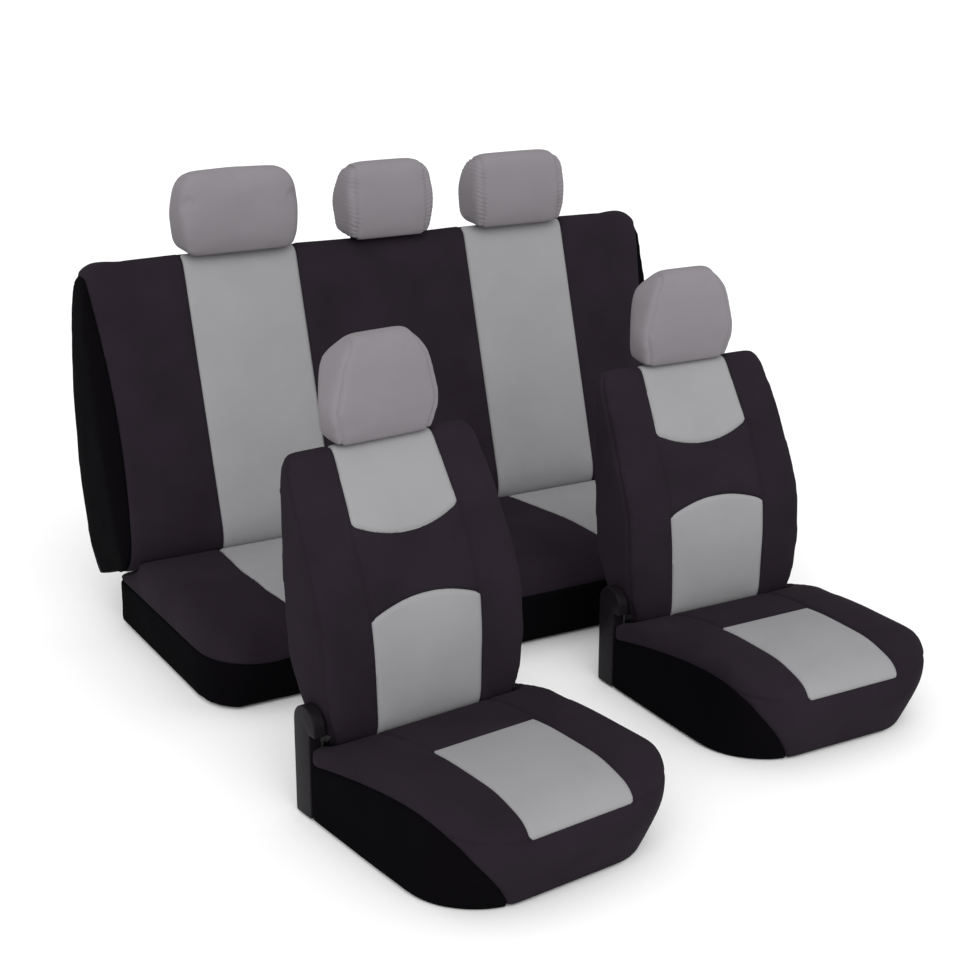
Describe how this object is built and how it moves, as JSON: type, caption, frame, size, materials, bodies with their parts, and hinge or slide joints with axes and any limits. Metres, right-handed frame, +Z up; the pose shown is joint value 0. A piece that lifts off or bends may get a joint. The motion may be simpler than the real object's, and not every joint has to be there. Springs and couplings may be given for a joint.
{
  "type": "seat cover set",
  "caption": "Two-tone fabric seat covers with separate headrest covers, fitted to front bucket seats and a rear bench with folding backs.",
  "frame": {"origin": "centre of the whole set's footprint, on the floor", "axes": "+Z up, the seats face -Y, +X is the driver's side"},
  "size_m": [1.424, 1.6528, 0.966],
  "materials": {
    "black_cloth": "close-knit polyester, black with a slight plum cast, soft sheen",
    "grey_cloth": "close-knit polyester, mid grey, smooth",
    "headrest_cloth": "close-knit polyester, warm grey, smooth",
    "skirt_cloth": "plain black stretch cloth, matt",
    "foam": "moulded seat foam, pale yellow",
    "pressed_steel": "black painted pressed steel",
    "bare_steel": "turned steel",
    "post_chrome": "chromed steel rod",
    "trim_plastic": "moulded black plastic, satin gloss"
  },
  "bodies": {
    "root": {"passenger_seat_pan": "pressed_steel", "passenger_recliner_brackets": "pressed_steel", "passenger_cushion_foam": "foam", "passenger_cushion_cover": "black_cloth", "passenger_cushion_insert": "grey_cloth", "passenger_cushion_side_skirts": "skirt_cloth", "passenger_recliner_cap": "trim_plastic", "passenger_recliner_pins": "bare_steel", "driver_seat_pan": "pressed_steel", "driver_recliner_brackets": "pressed_steel", "driver_cushion_foam": "foam", "driver_cushion_cover": "black_cloth", "driver_cushion_insert": "grey_cloth", "driver_cushion_side_skirts": "skirt_cloth", "driver_recliner_cap": "trim_plastic", "driver_recliner_pins": "bare_steel", "bench_seat_pan": "pressed_steel", "bench_pivot_brackets": "pressed_steel", "bench_cushion_foam": "foam", "bench_cushion_cover": "black_cloth", "bench_cushion_left_insert": "grey_cloth", "bench_cushion_right_insert": "grey_cloth", "bench_cushion_skirt": "skirt_cloth", "bench_pivot_pins": "bare_steel"},
    "bench_back": {"bench_back_frame": "pressed_steel", "bench_back_foam": "foam", "bench_back_cover": "black_cloth", "bench_back_side_panels": "skirt_cloth", "bench_back_left_insert": "grey_cloth", "bench_back_right_insert": "grey_cloth", "bench_headrest_guides": "trim_plastic"},
    "bench_center_headrest": {"bench_center_headrest_posts": "post_chrome", "bench_center_headrest_foam": "foam", "bench_center_headrest_cover": "headrest_cloth"},
    "bench_left_headrest": {"bench_left_headrest_posts": "post_chrome", "bench_left_headrest_foam": "foam", "bench_left_headrest_cover": "headrest_cloth"},
    "bench_right_headrest": {"bench_right_headrest_posts": "post_chrome", "bench_right_headrest_foam": "foam", "bench_right_headrest_cover": "headrest_cloth"},
    "driver_back": {"driver_back_frame": "pressed_steel", "driver_back_foam": "foam", "driver_back_cover": "black_cloth", "driver_back_lower_insert": "grey_cloth", "driver_back_upper_insert": "grey_cloth", "driver_headrest_guides": "trim_plastic"},
    "driver_headrest": {"driver_headrest_posts": "post_chrome", "driver_headrest_foam": "foam", "driver_headrest_cover": "headrest_cloth"},
    "passenger_back": {"passenger_back_frame": "pressed_steel", "passenger_back_foam": "foam", "passenger_back_cover": "black_cloth", "passenger_back_lower_insert": "grey_cloth", "passenger_back_upper_insert": "grey_cloth", "passenger_headrest_guides": "trim_plastic"},
    "passenger_headrest": {"passenger_headrest_posts": "post_chrome", "passenger_headrest_foam": "foam", "passenger_headrest_cover": "headrest_cloth"}
  },
  "joints": [
    {"name": "passenger_recline", "type": "hinge", "parent": "root", "child": "passenger_back", "pos_m": [-0.461, -0.32667, 0.165], "axis": [0.9938, 0.1115, 0], "range_deg": [-35, 20]},
    {"name": "passenger_headrest_height", "type": "slide", "parent": "passenger_back", "child": "passenger_headrest", "axis": [-0.027, 0.2404, 0.9703], "range_m": [0, 0.05]},
    {"name": "driver_recline", "type": "hinge", "parent": "root", "child": "driver_back", "pos_m": [0.301, -0.15167, 0.165], "axis": [1, 0, 0], "range_deg": [-35, 20]},
    {"name": "driver_headrest_height", "type": "slide", "parent": "driver_back", "child": "driver_headrest", "axis": [0, 0.2419, 0.9703], "range_m": [0, 0.05]},
    {"name": "bench_back_fold", "type": "hinge", "parent": "root", "child": "bench_back", "pos_m": [0, 0.58333, 0.205], "axis": [1, 0, 0], "range_deg": [0, 35]},
    {"name": "bench_left_headrest_height", "type": "slide", "parent": "bench_back", "child": "bench_left_headrest", "axis": [0, 0.2233, 0.9748], "range_m": [0, 0.05]},
    {"name": "bench_center_headrest_height", "type": "slide", "parent": "bench_back", "child": "bench_center_headrest", "axis": [0, 0.2233, 0.9748], "range_m": [0, 0.05]},
    {"name": "bench_right_headrest_height", "type": "slide", "parent": "bench_back", "child": "bench_right_headrest", "axis": [0, 0.2233, 0.9748], "range_m": [0, 0.05]}
  ]
}
